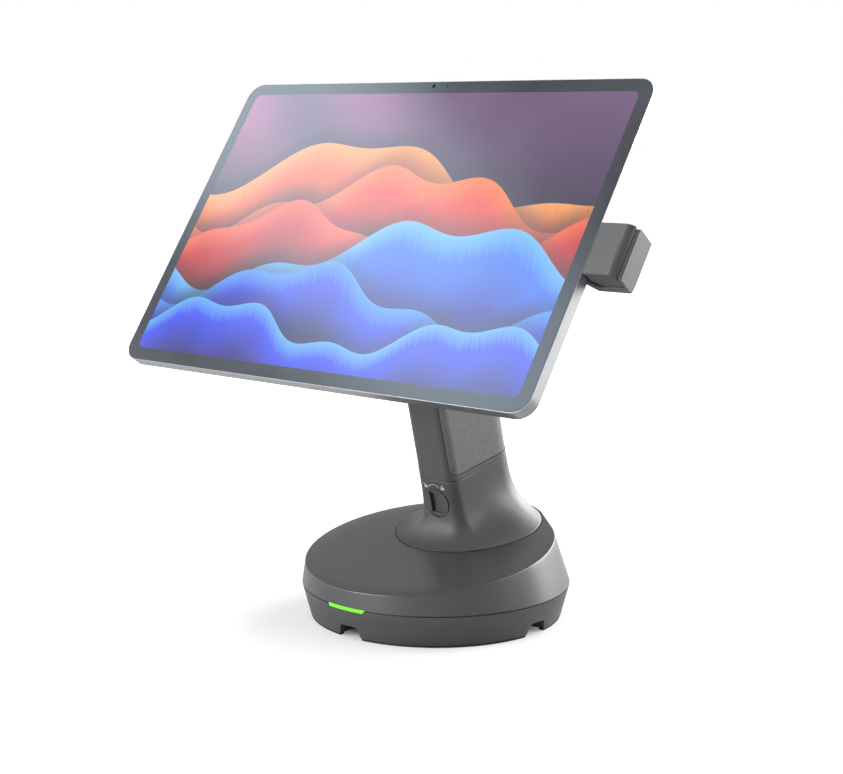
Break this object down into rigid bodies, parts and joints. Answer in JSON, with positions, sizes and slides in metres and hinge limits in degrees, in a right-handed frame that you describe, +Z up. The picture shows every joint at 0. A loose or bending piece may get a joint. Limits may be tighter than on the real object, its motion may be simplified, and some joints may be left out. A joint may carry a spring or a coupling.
{
  "type": "tablet security kiosk stand",
  "caption": "Round weighted counter stand with a leaning lift-off handle that holds a tablet on a tilting, turning head, with a turn lock and a light bar.",
  "frame": {"origin": "on the desk under the middle of the round base", "axes": "+Z up, -Y to the front, where the screen and the light bar look, +X to the right of a viewer in front of the stand who faces it"},
  "size_m": [0.3048, 0.1803, 0.2953],
  "materials": {
    "rubber": "matt black rubber",
    "base_plastic": "satin dark grey moulding",
    "cover_plastic": "satin grey moulding, very fine grain",
    "handle_plastic": "satin grey moulding",
    "knob_plastic": "satin dark grey moulding",
    "housing_plastic": "satin mid grey moulding",
    "boot_plastic": "satin grey moulding",
    "grip_rubber": "fine pebble grain",
    "light_bar": "translucent green light pipe",
    "black_plastic": "matt black",
    "circuit_board": "green solder mask",
    "nylon": "natural nylon",
    "ballast_steel": "zinc-plated steel",
    "bracket_steel": "black powder coat",
    "head_metal": "satin dark grey paint on cast alloy",
    "cast_alloy": "as cast",
    "fastener": "zinc-plated steel",
    "bronze": "sintered bronze",
    "tablet_metal": "bead-blasted silver anodised",
    "tablet_glass": "glossy cover glass with dark printed border",
    "display": "lit display",
    "lens": "dark lens"
  },
  "bodies": {
    "base": {"rubber_feet": "rubber", "counter_pad": "rubber", "cable_guides": "base_plastic", "lower_housing": "base_plastic", "base_plate": "ballast_steel", "plate_screws": "fastener", "upper_cover": "cover_plastic", "cover_screws": "fastener", "led_light_bar": "light_bar", "led_board": "circuit_board", "board_spacers": "nylon", "control_board": "circuit_board", "power_inlet": "black_plastic", "swivel_bush": "bronze"},
    "neck": {"neck_foot": "cover_plastic", "swivel_spindle": "cast_alloy", "spindle_screws": "fastener", "thrust_washer": "nylon", "spring_washer": "fastener", "spindle_nut": "fastener", "dock_contacts": "black_plastic", "lock_bush": "bronze"},
    "lock": {"lock_knob": "knob_plastic", "lock_cam": "cast_alloy", "lock_clip": "fastener"},
    "handle": {"handle_shell": "handle_plastic", "handle_grip": "grip_rubber", "handle_spigot": "cast_alloy", "spigot_screws": "fastener", "contact_plate": "bronze", "handle_core": "cast_alloy", "tilt_yoke": "head_metal", "yoke_screws": "fastener", "tilt_pin": "fastener", "tilt_nut": "fastener", "friction_washers": "bronze"},
    "head": {"tilt_hub": "head_metal", "turn_washer": "nylon", "turn_lock_screw": "fastener"},
    "tablet": {"bracket_plate": "bracket_steel", "turn_screw": "fastener", "adhesive_pad": "rubber", "side_arm": "bracket_steel", "arm_screws": "fastener", "connector_cover": "housing_plastic", "connector_boot": "boot_plastic", "housing_screws": "fastener", "charging_plug": "black_plastic", "tablet_shell": "tablet_metal", "tablet_glass": "tablet_glass", "tablet_display": "display", "tablet_battery": "black_plastic", "tablet_board": "circuit_board", "front_camera": "lens", "rear_camera": "lens"},
    "power_key": {"power_button": "tablet_metal"},
    "volume_key": {"volume_button": "tablet_metal"}
  },
  "joints": [
    {"name": "base_swivel", "type": "hinge", "parent": "base", "child": "neck", "pos_m": [0, 0.02904, 0.0441], "axis": [0, -0.1564, 0.9877], "range_deg": [-165, 165]},
    {"name": "lock_turn", "type": "hinge", "parent": "neck", "child": "lock", "pos_m": [0, 0.02758, 0.06807], "axis": [0, -0.9703, -0.2419], "range_deg": [-90, 0]},
    {"name": "handle_lift", "type": "slide", "parent": "neck", "child": "handle", "axis": [0, -0.2419, 0.9703], "range_m": [0, 0.045]},
    {"name": "head_tilt", "type": "hinge", "parent": "handle", "child": "head", "pos_m": [0, -0.01745, 0.19495], "axis": [1, 0, 0], "range_deg": [-20, 20]},
    {"name": "tablet_turn", "type": "hinge", "parent": "head", "child": "tablet", "pos_m": [0, -0.0451, 0.21388], "axis": [0, -0.8251, 0.565], "range_deg": [0, 90]},
    {"name": "power_press", "type": "slide", "parent": "tablet", "child": "power_key", "axis": [0, -0.565, -0.8251], "range_m": [0, 0.0004], "stiffness_N_per_m": 1500},
    {"name": "volume_press", "type": "slide", "parent": "tablet", "child": "volume_key", "axis": [0, -0.565, -0.8251], "range_m": [0, 0.0004], "stiffness_N_per_m": 1500}
  ]
}
